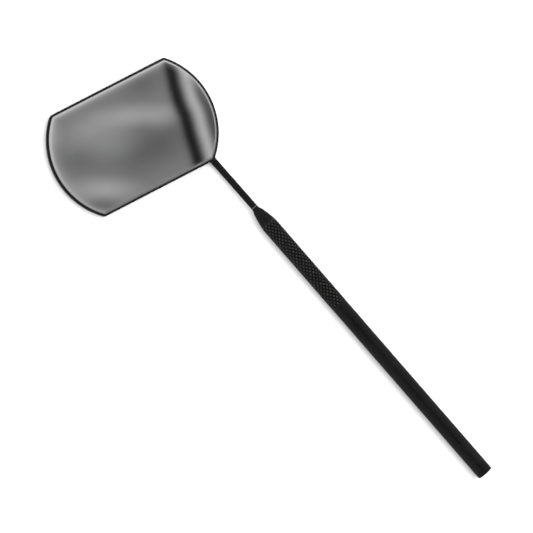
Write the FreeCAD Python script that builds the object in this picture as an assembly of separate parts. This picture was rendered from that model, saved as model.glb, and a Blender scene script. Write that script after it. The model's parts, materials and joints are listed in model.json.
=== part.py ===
import FreeCAD, Part
import math
import os
from FreeCAD import Vector

os.makedirs("parts", exist_ok=True)

# ---------------------------------------------------------------- driving dimensions (mm)
# Handle: hollow, round, its axis runs along X. x = 0 in "handle coordinates" is a point inside the
# nose; the head lies towards +X and the free end towards -X.
BARREL_D = 6.0          # smooth barrel
TUBE_BORE_D = 4.4
NOSE_TIP_X = 5.02       # front face of the nose
TUBE_FRONT_X = -3.80    # seam between nose and tube; the diamond knurl's 38 mm start here
TUBE_END_X = -123.37    # free end
TUBE_END_R = 0.4        # rounding of the free end
SPIGOT_LEN = 8.0        # nose spigot inside the tube
PLUG_LEN = 7.0
PRESS_GAP = 0.01

# Screw joint between stem and nose, M2 x 0.4, right-hand
PITCH = 0.4
THREAD_MALE_R = 0.96
THREAD_MALE_ROOT_R = 0.74
THREAD_FEMALE_R = 1.04
THREAD_FEMALE_CREST_R = 0.82
THREAD_IN_X = -0.60     # end of the threaded spigot
THREAD_OUT_X = 4.40     # last turn next to the stem's shoulder
NOSE_THREAD_DEPTH_X = -2.2
NOSE_MOUTH_R = 1.10
NOSE_MOUTH_DEPTH = 0.5

# Lock washer between the nose's face and the stem's shoulder
WASHER_OD = 2.72
WASHER_BORE_R = 1.03
WASHER_T = 0.22
WASHER_GAP = 0.02
WASHER_OFFSET_Y = -0.03  # it hangs to one side by its own clearance

# Stem
STEM_D = 2.5
STEM_SHOULDER_X = NOSE_TIP_X + WASHER_T + 2 * WASHER_GAP
STEM_END_X = 28.6        # trimmed back to the frame's wall
STEM_END_Y = -0.03
STEM_END_Z = 1.75

# Head: barrel outline, two parallel sides cut from two large arcs
HEAD_CX = 53.39          # middle between the two arc centres, handle coordinates
HEAD_CY = 16.50
HEAD_TURN_DEG = -13.83   # short axis of the head against the handle axis
ARC_R = 28.52
ARC_HALF_SPREAD = 3.20   # each arc's centre lies this far from the middle
SIDE_FAR = 20.31         # straight side away from the handle
SIDE_NEAR = 21.15        # straight side next to the handle
CORNER_R = {(1, 1): 2.3, (1, -1): 1.3, (-1, 1): 1.3, (-1, -1): 1.3}
HEAD_T = 3.2

# Frame of the head
WALL = 0.40
LIP_W = 0.60             # lip's inner edge, from the outline
LIP_T = 0.30
HEM_W = 1.50             # hem's inner edge, from the outline
HEM_T = 0.40
FRONT_EDGE_R = 0.38
BACK_EDGE_R = 0.30

# Back plate, joggled: flange behind the hem, panel flush with the hem
PLATE_T = 0.45
PLATE_FLANGE_IN = 0.45
PLATE_PANEL_IN = 1.60
PLATE_POCKET_IN = 2.05

# Pad and glass
PAD_IN = 2.15
GLASS_Z0 = 1.20
GLASS_Z1 = 2.85
GLASS_IN = 0.50          # ground edge, from the outline
BEVEL_IN = 1.50          # where the bevel meets the flat face, from the outline
BEVEL_D = 0.30           # depth of the bevel at the edge

# The barrel and the head's back lie on one plane, z = 0
AXIS_Z = BARREL_D / 2


# ---------------------------------------------------------------- helpers
def head_wire(inset, z):
    """Closed barrel outline, moved inwards by inset, at height z, in the head's own axes."""
    arc = ARC_R - inset
    side = {1: SIDE_FAR - inset, -1: SIDE_NEAR - inset}
    spread = ARC_HALF_SPREAD

    def corner(sx, sy):
        r = max(CORNER_R[(sx, sy)] - inset, 0.25)
        h = side[sx]
        cx = sx * (h - r)
        cy = sy * (spread + math.sqrt((arc - r) ** 2 - (h - r) ** 2))
        on_side = Vector(sx * h, cy, z)
        dx, dy = cx, cy - sy * spread
        n = math.hypot(dx, dy)
        on_arc = Vector(dx / n * arc, sy * spread + dy / n * arc, z)
        mx, my = sx + dx / n, dy / n
        m = math.hypot(mx, my)
        mid = Vector(cx + mx / m * r, cy + my / m * r, z)
        return on_side, mid, on_arc

    pp, mp = corner(1, 1), corner(-1, 1)
    mm, pm = corner(-1, -1), corner(1, -1)
    edges = [
        Part.LineSegment(pm[0], pp[0]).toShape(),
        Part.Arc(pp[0], pp[1], pp[2]).toShape(),
        Part.Arc(pp[2], Vector(0, spread + arc, z), mp[2]).toShape(),
        Part.Arc(mp[2], mp[1], mp[0]).toShape(),
        Part.LineSegment(mp[0], mm[0]).toShape(),
        Part.Arc(mm[0], mm[1], mm[2]).toShape(),
        Part.Arc(mm[2], Vector(0, -spread - arc, z), pm[2]).toShape(),
        Part.Arc(pm[2], pm[1], pm[0]).toShape(),
    ]
    return Part.Wire(edges)


def head_prism(inset, z0, z1):
    return Part.Face(head_wire(inset, z0)).extrude(Vector(0, 0, z1 - z0))


def outline_edges(solid, z):
    """Edges of the outer wire of the flat face at height z."""
    for f in solid.Faces:
        b = f.BoundBox
        if abs(b.ZMin - z) < 1e-6 and abs(b.ZMax - z) < 1e-6:
            return f.OuterWire.Edges
    return []


def turned(profile):
    """Solid of revolution about X from a closed profile of edges in the XY plane (y = radius)."""
    return Part.Face(Part.Wire(profile)).revolve(Vector(0, 0, 0), Vector(1, 0, 0), 360)


def poly_profile(points):
    pts = [Vector(x, r, 0) for x, r in points]
    return [
        Part.LineSegment(pts[i], pts[(i + 1) % len(pts)]).toShape()
        for i in range(len(pts))
    ]


def rod(r, x0, x1):
    return Part.makeCylinder(r, x1 - x0, Vector(x0, 0, 0), Vector(1, 0, 0))


def thread_body(x_start, turns, root_r, crest_r, root_w, crest_w):
    """Right-hand thread ridge along +X, swept along a helix that starts at x_start."""
    length = turns * PITCH
    helix = Part.makeLongHelix(PITCH, length, root_r, 0, False)
    profile = Part.makePolygon([
        Vector(root_r, 0, -root_w / 2),
        Vector(crest_r, 0, -crest_w / 2),
        Vector(crest_r, 0, crest_w / 2),
        Vector(root_r, 0, root_w / 2),
        Vector(root_r, 0, -root_w / 2),
    ])
    ridge = Part.Wire(helix.Edges).makePipeShell([profile], True, True)
    ridge.rotate(Vector(0, 0, 0), Vector(0, 1, 0), 90)
    ridge.translate(Vector(x_start, 0, 0))
    return ridge


# ---------------------------------------------------------------- handle
def make_nose():
    # ogive: short neck, quick flare, then a long soft curve up to the barrel's diameter
    ogive = [
        (4.35, 1.27), (4.00, 1.36), (3.62, 1.54), (3.26, 1.70), (2.54, 1.92),
        (1.81, 2.10), (1.09, 2.27), (0.0, 2.51), (-1.09, 2.71), (-2.18, 2.87),
        (-3.10, 2.96), (TUBE_FRONT_X, BARREL_D / 2),
    ]
    curve = Part.BSplineCurve()
    curve.interpolate(
        Points=[Vector(x, r, 0) for x, r in ogive],
        InitialTangent=Vector(-1, 0.05, 0),
        FinalTangent=Vector(-1, 0.01, 0),
    )
    spigot_r = TUBE_BORE_D / 2 - PRESS_GAP
    back_x = TUBE_FRONT_X - SPIGOT_LEN
    tip, first = Vector(NOSE_TIP_X, 1.25, 0), Vector(4.35, 1.27, 0)
    chain = [
        Vector(TUBE_FRONT_X, BARREL_D / 2, 0),
        Vector(TUBE_FRONT_X, spigot_r, 0),
        Vector(back_x + 0.4, spigot_r, 0),
        Vector(back_x, spigot_r - 0.4, 0),
        Vector(back_x, 0, 0),
        Vector(NOSE_TIP_X, 0, 0),
        Vector(NOSE_TIP_X, 1.17, 0),
        Vector(NOSE_TIP_X - 0.08, 1.25, 0),
        first,
    ]
    edges = [curve.toShape()]
    for a, b in zip(chain, chain[1:]):
        edges.append(Part.LineSegment(a, b).toShape())
    nose = turned(Part.Wire(Part.__sortEdges__(edges)).Edges)
    bore = rod(THREAD_FEMALE_CREST_R, NOSE_THREAD_DEPTH_X - 1.2, NOSE_TIP_X + 1)
    mouth = rod(NOSE_MOUTH_R, NOSE_TIP_X - NOSE_MOUTH_DEPTH, NOSE_TIP_X + 1)
    nose = nose.cut(bore).cut(mouth)
    # female groove: same helix as the spigot's ridge, a whole number of pitches longer
    turns = 18
    start = THREAD_IN_X - 4 * PITCH
    groove = thread_body(start, turns, THREAD_FEMALE_CREST_R - 0.03, THREAD_FEMALE_R, 0.340, 0.10)
    return nose.cut(groove)


def make_tube():
    r, b = BARREL_D / 2, TUBE_BORE_D / 2
    tube = turned(poly_profile([(TUBE_FRONT_X, b), (TUBE_FRONT_X, r), (TUBE_END_X, r), (TUBE_END_X, b)]))
    rim = [
        e for e in tube.Edges
        if abs(e.BoundBox.XMin - TUBE_END_X) < 1e-6 and abs(e.BoundBox.XMax - TUBE_END_X) < 1e-6
        and abs(e.BoundBox.YMax - r) < 1e-3
    ]
    return tube.makeFillet(TUBE_END_R, rim)


def make_plug():
    r = TUBE_BORE_D / 2 - PRESS_GAP
    x0, x1 = TUBE_END_X + 0.05, TUBE_END_X + PLUG_LEN
    return turned(poly_profile([
        (x0, 0), (x0, r - 0.15), (x0 + 0.15, r), (x1 - 0.4, r), (x1, r - 0.4), (x1, 0),
    ]))


def make_washer():
    x0 = NOSE_TIP_X + WASHER_GAP
    ring = rod(WASHER_OD / 2, x0, x0 + WASHER_T)
    ring.translate(Vector(0, WASHER_OFFSET_Y, 0))
    edges = [e for e in ring.Edges if e.Closed]
    ring = ring.makeChamfer(0.05, edges)
    return ring.cut(rod(WASHER_BORE_R, x0 - 1, x0 + 1))


# ---------------------------------------------------------------- stem
def stem_path():
    z = STEM_END_Z - AXIS_Z
    curve = Part.BezierCurve()
    curve.setPoles([
        Vector(STEM_SHOULDER_X, 0, 0),
        Vector(STEM_SHOULDER_X + 8.5, 0, 0),
        Vector(STEM_END_X - 8.5, STEM_END_Y - 0.02, z + 0.15),
        Vector(STEM_END_X, STEM_END_Y, z),
    ])
    return curve.toShape()


def make_stem():
    r = STEM_D / 2
    circle = Part.Wire(Part.makeCircle(r, Vector(STEM_SHOULDER_X, 0, 0), Vector(1, 0, 0)))
    body = Part.Wire([stem_path()]).makePipeShell([circle], True, False)
    # threaded spigot: core, relief next to the shoulder, helical ridge, pointed end
    core = turned(poly_profile([
        (STEM_SHOULDER_X + 0.5, 0), (STEM_SHOULDER_X + 0.5, THREAD_MALE_ROOT_R),
        (THREAD_IN_X - 0.05, THREAD_MALE_ROOT_R), (THREAD_IN_X - 0.35, THREAD_MALE_ROOT_R - 0.3),
        (THREAD_IN_X - 0.35, 0),
    ]))
    neck = rod(0.95, NOSE_TIP_X - 0.25, STEM_SHOULDER_X + 0.5)
    turns = 12
    ridge = thread_body(THREAD_IN_X, turns, THREAD_MALE_ROOT_R - 0.03, THREAD_MALE_R, 0.255, 0.055)
    return body.fuse([neck, core, ridge]).removeSplitter()


def make_braze():
    x0, x1, xe = STEM_END_X - 2.2, STEM_END_X - 1.0, STEM_END_X - 0.2
    r0, r1 = STEM_D / 2 - 0.02, STEM_D / 2 + 0.16
    curve = Part.BezierCurve()
    curve.setPoles([Vector(x0, r0, 0), Vector(x1 - 0.3, r0 + 0.01, 0), Vector(x1, r1, 0)])
    chain = [Vector(x1, r1, 0), Vector(xe, r1, 0), Vector(xe, 0, 0), Vector(x0, 0, 0), Vector(x0, r0, 0)]
    edges = [curve.toShape()] + [Part.LineSegment(a, b).toShape() for a, b in zip(chain, chain[1:])]
    bead = turned(edges)
    bead.translate(Vector(0, STEM_END_Y, STEM_END_Z - AXIS_Z))
    return bead


# ---------------------------------------------------------------- head
def make_frame_blank():
    blank = head_prism(0, 0, HEAD_T)
    blank = blank.makeFillet(FRONT_EDGE_R, outline_edges(blank, HEAD_T))
    return blank.makeFillet(BACK_EDGE_R, outline_edges(blank, 0))


def make_frame(blank):
    frame = blank.cut(head_prism(WALL, HEM_T, HEAD_T - LIP_T))
    frame = frame.cut(head_prism(LIP_W, HEAD_T - LIP_T - 0.1, HEAD_T + 1))
    return frame.cut(head_prism(HEM_W, -1, HEM_T + 0.1))


def make_plate():
    panel = head_prism(PLATE_PANEL_IN, 0, HEM_T + PLATE_T)
    flange = head_prism(PLATE_FLANGE_IN, HEM_T + 0.01, HEM_T + PLATE_T)
    pocket = head_prism(PLATE_POCKET_IN, PLATE_T, HEM_T + PLATE_T + 1)
    return panel.fuse(flange).removeSplitter().cut(pocket)


def make_glass():
    body = head_prism(GLASS_IN, GLASS_Z0, GLASS_Z1 - BEVEL_D)
    bevel = Part.makeLoft(
        [head_wire(GLASS_IN, GLASS_Z1 - BEVEL_D), head_wire(BEVEL_IN, GLASS_Z1)], True, True
    )
    return body.fuse(bevel).removeSplitter()


def make_seal(glass):
    ring = head_prism(WALL + 0.01, 2.3, HEAD_T - LIP_T - 0.01).cut(head_prism(LIP_W + 0.02, 2.0, 3.0))
    return ring.cut(glass)


def place_head(shape):
    s = shape.copy()
    s.rotate(Vector(0, 0, 0), Vector(0, 0, 1), HEAD_TURN_DEG)
    s.translate(Vector(HEAD_CX, HEAD_CY, 0))
    return s


blank = make_frame_blank()
glass = make_glass()
head = {
    "bezel_frame": make_frame(blank),
    "back_plate": make_plate(),
    "backing_pad": head_prism(PAD_IN, PLATE_T, GLASS_Z0),
    "mirror_glass": glass,
    "edge_seal": make_seal(glass),
}
shapes = {name: place_head(s) for name, s in head.items()}
blank = place_head(blank)

on_axis = {
    "handle_nose": make_nose(),
    "handle_tube": make_tube(),
    "end_plug": make_plug(),
    "lock_washer": make_washer(),
    "stem": make_stem(),
    "stem_braze": make_braze(),
}
for name, s in on_axis.items():
    s = s.copy()
    s.translate(Vector(0, 0, AXIS_Z))
    shapes[name] = s
shapes["stem"] = shapes["stem"].cut(blank)
shapes["stem_braze"] = shapes["stem_braze"].cut(blank).cut(shapes["stem"])

# Origin: centre of the footprint, on the plane that the object lies on
box = FreeCAD.BoundBox()
for s in shapes.values():
    box.add(s.optimalBoundingBox(False, False) if hasattr(s, "optimalBoundingBox") else s.BoundBox)
ORIGIN_X = round((box.XMin + box.XMax) / 2, 3)
ORIGIN_Y = round((box.YMin + box.YMax) / 2, 3)
for s in shapes.values():
    s.translate(Vector(-ORIGIN_X, -ORIGIN_Y, 0))

for name, s in sorted(shapes.items()):
    solids = s.Solids
    if len(solids) == 1:
        s = solids[0]
    s.exportStep("parts/%s.step" % name)
    b = s.BoundBox
    print("%-13s solids %d valid %s vol %.2f  x %.3f..%.3f y %.3f..%.3f z %.3f..%.3f" % (
        name, len(solids), s.isValid(), s.Volume, b.XMin, b.XMax, b.YMin, b.YMax, b.ZMin, b.ZMax))
print("origin in handle coordinates", ORIGIN_X, ORIGIN_Y, "axis height", AXIS_Z)
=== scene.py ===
import json
import math

import bpy
import numpy as np
from mathutils import Matrix, Vector


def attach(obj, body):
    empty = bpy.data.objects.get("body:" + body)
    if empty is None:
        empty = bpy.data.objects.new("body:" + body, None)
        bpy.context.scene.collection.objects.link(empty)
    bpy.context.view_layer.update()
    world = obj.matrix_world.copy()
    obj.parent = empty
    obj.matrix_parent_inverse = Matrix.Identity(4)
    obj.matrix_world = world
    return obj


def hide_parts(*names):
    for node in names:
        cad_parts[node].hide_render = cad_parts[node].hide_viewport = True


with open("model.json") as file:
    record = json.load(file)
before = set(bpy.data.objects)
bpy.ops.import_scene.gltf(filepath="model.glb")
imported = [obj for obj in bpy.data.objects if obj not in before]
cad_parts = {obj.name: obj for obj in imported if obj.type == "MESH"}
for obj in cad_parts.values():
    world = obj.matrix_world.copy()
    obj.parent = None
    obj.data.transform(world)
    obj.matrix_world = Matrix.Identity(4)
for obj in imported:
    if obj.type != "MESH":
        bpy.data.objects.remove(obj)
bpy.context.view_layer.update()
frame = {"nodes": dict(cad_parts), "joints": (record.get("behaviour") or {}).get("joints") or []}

# ------------------------------------------------------------------ the frame's own numbers
# The design is drawn in "handle coordinates": x along the handle, x = 0 inside the nose, millimetres.
# The screw joint sits on the nose's front face, so its place gives the shift to the row's frame.
turn = [j for j in frame["joints"] if j["name"] == "head_turn"][0]
NOSE_TIP_X = 5.02
ORIGIN = np.array([
    NOSE_TIP_X - turn["pos_m"][0] * 1000.0,
    -turn["pos_m"][1] * 1000.0,
    0.0,
])
AXIS_Z = turn["pos_m"][2] * 1000.0

BARREL_R = 3.0
TUBE_BORE_R = 2.2
TUBE_FRONT_X = -3.80
TUBE_END_X = -123.37
KNURL_X0, KNURL_X1 = -1.85, -42.3       # it starts on the nose and runs over the seam

PITCH = 0.4
STEM_R = 1.25
SHOULDER_X = 5.28
STEM_END = (28.6, -0.03, 1.75)

HEAD_C = (53.39, 16.50)
HEAD_TURN = math.radians(-13.83)
ARC_R, ARC_SPREAD = 28.52, 3.20
SIDE_FAR, SIDE_NEAR = 20.31, 21.15
CORNER_R = {(1, 1): 2.3, (1, -1): 1.3, (-1, 1): 1.3, (-1, -1): 1.3}
HEAD_T = 3.2

TAU = 2 * math.pi


def to_row(p):
    """Handle coordinates in mm, z up from the floor, to the row's frame in metres."""
    return (np.asarray(p, float) - ORIGIN) / 1000.0


# ------------------------------------------------------------------ mesh helpers
def make_mesh(name, verts, faces, body, material, replaces=(), sharp_deg=32.0):
    me = bpy.data.meshes.new(name)
    me.from_pydata([tuple(v) for v in verts], [], [tuple(int(i) for i in f) for f in faces])
    me.validate()
    me.update()
    import bmesh
    bm = bmesh.new()
    bm.from_mesh(me)
    bmesh.ops.recalc_face_normals(bm, faces=bm.faces)
    limit = math.radians(sharp_deg)
    for f in bm.faces:
        f.smooth = True
    for e in bm.edges:
        if len(e.link_faces) == 2 and e.calc_face_angle(0.0) > limit:
            e.smooth = False
    bm.to_mesh(me)
    bm.free()
    ob = bpy.data.objects.new(name, me)
    bpy.context.scene.collection.objects.link(ob)
    me.materials.append(material)
    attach(ob, body)
    if replaces:
        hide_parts(*replaces)
    return ob


def rings_to_faces(n_rings, n, close_rings=False, first=0):
    faces = []
    m = n_rings if close_rings else n_rings - 1
    for i in range(m):
        a, b = first + i * n, first + ((i + 1) % n_rings) * n
        for j in range(n):
            k = (j + 1) % n
            faces.append((a + j, a + k, b + k, b + j))
    return faces


def cap(verts, faces, ring_start, n, centre):
    """Closes a ring with a fan to a centre point."""
    c = len(verts)
    verts.append(centre)
    for j in range(n):
        faces.append((ring_start + j, ring_start + (j + 1) % n, c))


def lathe(profile, n, close_profile=False, radius=None):
    """Rings round the handle's axis. profile is (x, r) in mm; radius(i, x, r, theta) may change r."""
    th = np.arange(n) * TAU / n
    verts = []
    for i, (x, r) in enumerate(profile):
        rr = np.full(n, r, float) if radius is None else radius(i, x, r, th)
        ring = np.stack([np.full(n, x), rr * np.cos(th), AXIS_Z + rr * np.sin(th)], 1)
        verts.append(ring)
    verts = [tuple(v) for v in to_row(np.concatenate(verts))]
    faces = rings_to_faces(len(profile), n, close_profile)
    return verts, faces


def arc_points(cx, cy, r, a0, a1, steps):
    """Points of a rounding in a profile, degrees."""
    return [
        (cx + r * math.cos(math.radians(a0 + (a1 - a0) * i / steps)),
         cy + r * math.sin(math.radians(a0 + (a1 - a0) * i / steps)))
        for i in range(steps + 1)
    ]


# ------------------------------------------------------------------ barrel outline of the head
N_SIDE, N_ARC, N_CORNER = 26, 84, 12
LIP_SHIFT = (0.010, -0.170)    # the pressed lip is not quite concentric with the outline


def head_ring(inset, z):
    """Outline of the head moved inwards by inset, always with the same number of points."""
    arc = ARC_R - inset
    side = {1: SIDE_FAR - inset, -1: SIDE_NEAR - inset}

    def corner(sx, sy):
        r = max(CORNER_R[(sx, sy)] - inset, 0.25)
        h = side[sx]
        cx = sx * (h - r)
        cy = sy * (ARC_SPREAD + math.sqrt((arc - r) ** 2 - (h - r) ** 2))
        a_side = 0.0 if sx > 0 else math.pi
        a_arc = math.atan2(cy - sy * ARC_SPREAD, cx)
        if sx < 0 and a_arc < 0:
            a_arc += TAU
        return cx, cy, r, a_side, a_arc

    pts = []

    def add_line(p, q, n):
        for i in range(n):
            t = i / n
            pts.append((p[0] + (q[0] - p[0]) * t, p[1] + (q[1] - p[1]) * t))

    def add_arc(cx, cy, r, a0, a1, n):
        for i in range(n):
            a = a0 + (a1 - a0) * i / n
            pts.append((cx + r * math.cos(a), cy + r * math.sin(a)))

    pm, pp = corner(1, -1), corner(1, 1)
    mp, mm = corner(-1, 1), corner(-1, -1)
    add_line((side[1], pm[1]), (side[1], pp[1]), N_SIDE)
    add_arc(pp[0], pp[1], pp[2], 0.0, pp[4], N_CORNER)
    add_arc(0, ARC_SPREAD, arc, pp[4], mp[4], N_ARC)
    add_arc(mp[0], mp[1], mp[2], mp[4], math.pi, N_CORNER)
    add_line((-side[-1], mp[1]), (-side[-1], mm[1]), N_SIDE)
    add_arc(mm[0], mm[1], mm[2], math.pi, mm[4], N_CORNER)
    add_arc(0, -ARC_SPREAD, arc, mm[4], TAU + pm[4], N_ARC)
    add_arc(pm[0], pm[1], pm[2], TAU + pm[4], TAU, N_CORNER)
    p = np.array(pts)
    if z > 2.4:
        p = p + np.array(LIP_SHIFT) * min(max((inset - 0.42) / 0.16, 0.0), 1.0)
    c, s = math.cos(HEAD_TURN), math.sin(HEAD_TURN)
    return np.stack([
        HEAD_C[0] + c * p[:, 0] - s * p[:, 1],
        HEAD_C[1] + s * p[:, 0] + c * p[:, 1],
        np.full(len(p), z),
    ], 1)


N_HEAD = 2 * N_SIDE + 2 * N_ARC + 4 * N_CORNER


def head_loft(profile, close_profile, fill_first=False, fill_last=False):
    verts = [tuple(v) for v in to_row(np.concatenate([head_ring(i, z) for i, z in profile]))]
    faces = rings_to_faces(len(profile), N_HEAD, close_profile)
    if fill_first:
        faces.append(tuple(range(N_HEAD)))
    if fill_last:
        s = (len(profile) - 1) * N_HEAD
        faces.append(tuple(range(s, s + N_HEAD)))
    return verts, faces


# ------------------------------------------------------------------ materials
def new_material(name):
    m = bpy.data.materials.new(name)
    m.use_nodes = True
    nt = m.node_tree
    nt.nodes.clear()
    out = nt.nodes.new("ShaderNodeOutputMaterial")
    bsdf = nt.nodes.new("ShaderNodeBsdfPrincipled")
    nt.links.new(bsdf.outputs["BSDF"], out.inputs["Surface"])
    return m, nt, bsdf


def node(nt, kind, **values):
    n = nt.nodes.new(kind)
    for k, v in values.items():
        if k in n.inputs:
            n.inputs[k].default_value = v
        else:
            setattr(n, k, v)
    return n


def object_coords(nt, scale=(1, 1, 1)):
    tc = nt.nodes.new("ShaderNodeTexCoord")
    mp = nt.nodes.new("ShaderNodeMapping")
    mp.inputs["Scale"].default_value = scale
    nt.links.new(tc.outputs["Object"], mp.inputs["Vector"])
    return mp


def ramp(nt, value, stops):
    r = nt.nodes.new("ShaderNodeValToRGB")
    els = r.color_ramp.elements
    while len(els) > 1:
        els.remove(els[-1])
    els[0].position, els[0].color = stops[0][0], (*stops[0][1], 1)
    for p, c in stops[1:]:
        e = els.new(p)
        e.color = (*c, 1)
    nt.links.new(value, r.inputs["Fac"])
    return r


def map_range(nt, value, a, b, c, d):
    m = nt.nodes.new("ShaderNodeMapRange")
    for k, v in zip(("From Min", "From Max", "To Min", "To Max"), (a, b, c, d)):
        m.inputs[k].default_value = v
    nt.links.new(value, m.inputs["Value"])
    return m


def grey(v, tint=(1, 1, 1)):
    return tuple(v * t for t in tint)


def black_coat(name, base=0.0075, rough=0.40, grain=1.0, spec=0.28, crest=None):
    """Satin black coating on steel: a little orange peel, fine grain, a faintly rubbed gloss; given crest, a painted
    highlight on the knurl's crests and painted shade in its grooves.
    """
    m, nt, b = new_material(name)
    mp = object_coords(nt, (1, 1, 1))
    cloud = node(nt, "ShaderNodeTexNoise", Scale=95.0, Detail=4.0, Roughness=0.55)
    nt.links.new(mp.outputs[0], cloud.inputs["Vector"])
    fine = node(nt, "ShaderNodeTexNoise", Scale=2600.0, Detail=3.0, Roughness=0.6)
    nt.links.new(mp.outputs[0], fine.inputs["Vector"])
    peel = node(nt, "ShaderNodeTexNoise", Scale=620.0, Detail=2.0, Roughness=0.5)
    nt.links.new(mp.outputs[0], peel.inputs["Vector"])
    mottle = node(nt, "ShaderNodeTexNoise", Scale=1500.0, Detail=2.5, Roughness=0.7)
    nt.links.new(mp.outputs[0], mottle.inputs["Vector"])
    both = nt.nodes.new("ShaderNodeMath")
    both.operation = "MULTIPLY_ADD"
    nt.links.new(mottle.outputs["Fac"], both.inputs[0])
    both.inputs[1].default_value = 0.75
    part = map_range(nt, cloud.outputs["Fac"], 0.0, 1.0, 0.0, 0.25)
    nt.links.new(part.outputs[0], both.inputs[2])
    col = ramp(nt, both.outputs[0], [
        (0.36, grey(base * 0.45, (1.0, 1.0, 1.03))),
        (0.50, grey(base * 1.00, (1.0, 1.0, 1.0))),
        (0.64, grey(base * 1.85, (1.02, 1.0, 0.99))),
    ])
    if crest is None:
        nt.links.new(col.outputs["Color"], b.inputs["Base Color"])
    else:
        # painted highlight on the crests of the knurl, partly standing for coating rubbed thin there; painted shade,
        # the coat darker, in its grooves
        tc2 = nt.nodes.new("ShaderNodeTexCoord")
        mp2 = nt.nodes.new("ShaderNodeMapping")
        ay, az = to_row((0, 0, AXIS_Z))[1:]
        mp2.inputs["Location"].default_value = (0, -ay, -az)
        mp2.inputs["Scale"].default_value = (0, 1, 1)
        nt.links.new(tc2.outputs["Object"], mp2.inputs["Vector"])
        ln = nt.nodes.new("ShaderNodeVectorMath")
        ln.operation = "LENGTH"
        nt.links.new(mp2.outputs[0], ln.inputs[0])
        # the front of the knurl is cut into the taper of the nose
        sx = nt.nodes.new("ShaderNodeSeparateXYZ")
        nt.links.new(tc2.outputs["Object"], sx.inputs[0])
        xa, xb = to_row((TUBE_FRONT_X, 0, 0))[0], to_row((-1.85, 0, 0))[0]
        taper = map_range(nt, sx.outputs["X"], xa, xb, 0.0, 0.00017)
        rad = nt.nodes.new("ShaderNodeMath")
        rad.operation = "ADD"
        nt.links.new(ln.outputs["Value"], rad.inputs[0])
        nt.links.new(taper.outputs[0], rad.inputs[1])
        patch = node(nt, "ShaderNodeTexNoise", Scale=780.0, Detail=2.0, Roughness=0.6)
        nt.links.new(mp.outputs[0], patch.inputs["Vector"])
        # noise shifts the radius where the painted crest highlight and groove shade begin: patchy rubbing and patchy
        # painted light
        wear_and_highlight_patches = map_range(nt, patch.outputs["Fac"], 0.3, 0.7, -0.000022, 0.000022)
        rad2 = nt.nodes.new("ShaderNodeMath")
        rad2.operation = "ADD"
        nt.links.new(rad.outputs[0], rad2.inputs[0])
        nt.links.new(wear_and_highlight_patches.outputs[0], rad2.inputs[1])
        top = map_range(nt, rad2.outputs[0], 0.00276, 0.00306, 0.0, 1.0)
        # painted shade: groove colour down to 0.1 of the coat; painted highlight: crest colour up to crest times the
        # coat
        crest_wear_highlight_groove_shade = ramp(nt, top.outputs[0], [(0.0, grey(0.10)), (0.40, grey(0.22)), (0.62, grey(0.8)), (0.79, grey(1.15)), (0.85, grey(2.0)),
                                         (0.92, grey(crest * 0.60, (1.0, 1.01, 0.96))), (1.0, grey(crest * 0.88, (1.0, 1.01, 0.96)))])
        zone = map_range(nt, sx.outputs["X"], to_row((KNURL_X1, 0, 0))[0], to_row((KNURL_X1 + 0.6, 0, 0))[0], 0.0, 1.0)
        mul = nt.nodes.new("ShaderNodeMix")
        mul.data_type = "RGBA"
        mul.blend_type = "MULTIPLY"
        nt.links.new(zone.outputs[0], mul.inputs["Factor"])
        nt.links.new(col.outputs["Color"], mul.inputs["A"])
        nt.links.new(crest_wear_highlight_groove_shade.outputs["Color"], mul.inputs["B"])
        nt.links.new(mul.outputs["Result"], b.inputs["Base Color"])
    mix = nt.nodes.new("ShaderNodeMath")
    mix.operation = "ADD"
    r1 = map_range(nt, cloud.outputs["Fac"], 0.3, 0.7, rough - 0.055, rough + 0.045)
    r2 = map_range(nt, mottle.outputs["Fac"], 0.3, 0.7, -0.085, 0.085)
    nt.links.new(r1.outputs[0], mix.inputs[0])
    nt.links.new(r2.outputs[0], mix.inputs[1])
    nt.links.new(mix.outputs[0], b.inputs["Roughness"])
    bump1 = node(nt, "ShaderNodeBump", Strength=0.16 * grain, Distance=0.00004)
    nt.links.new(fine.outputs["Fac"], bump1.inputs["Height"])
    bump2 = node(nt, "ShaderNodeBump", Strength=0.20 * grain, Distance=0.00006)
    nt.links.new(peel.outputs["Fac"], bump2.inputs["Height"])
    nt.links.new(bump1.outputs["Normal"], bump2.inputs["Normal"])
    nt.links.new(bump2.outputs["Normal"], b.inputs["Normal"])
    b.inputs["Specular IOR Level"].default_value = spec
    return m


def silvered_glass():
    m, nt, b = new_material("silvered_glass")
    mp = object_coords(nt)
    haze = node(nt, "ShaderNodeTexNoise", Scale=70.0, Detail=5.0, Roughness=0.6)
    nt.links.new(mp.outputs[0], haze.inputs["Vector"])
    dust = node(nt, "ShaderNodeTexVoronoi", Scale=420.0)
    nt.links.new(mp.outputs[0], dust.inputs["Vector"])
    speck = map_range(nt, dust.outputs["Distance"], 0.02, 0.05, 0.20, 0.0)
    hz = map_range(nt, haze.outputs["Fac"], 0.45, 0.75, 0.008, 0.020)
    add = nt.nodes.new("ShaderNodeMath")
    add.operation = "ADD"
    nt.links.new(speck.outputs[0], add.inputs[0])
    nt.links.new(hz.outputs[0], add.inputs[1])
    nt.links.new(add.outputs[0], b.inputs["Roughness"])
    col = ramp(nt, haze.outputs["Fac"], [(0.3, (0.875, 0.88, 0.875)), (0.75, (0.845, 0.852, 0.85))])
    nt.links.new(col.outputs["Color"], b.inputs["Base Color"])
    b.inputs["Metallic"].default_value = 1.0
    return m


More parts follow.
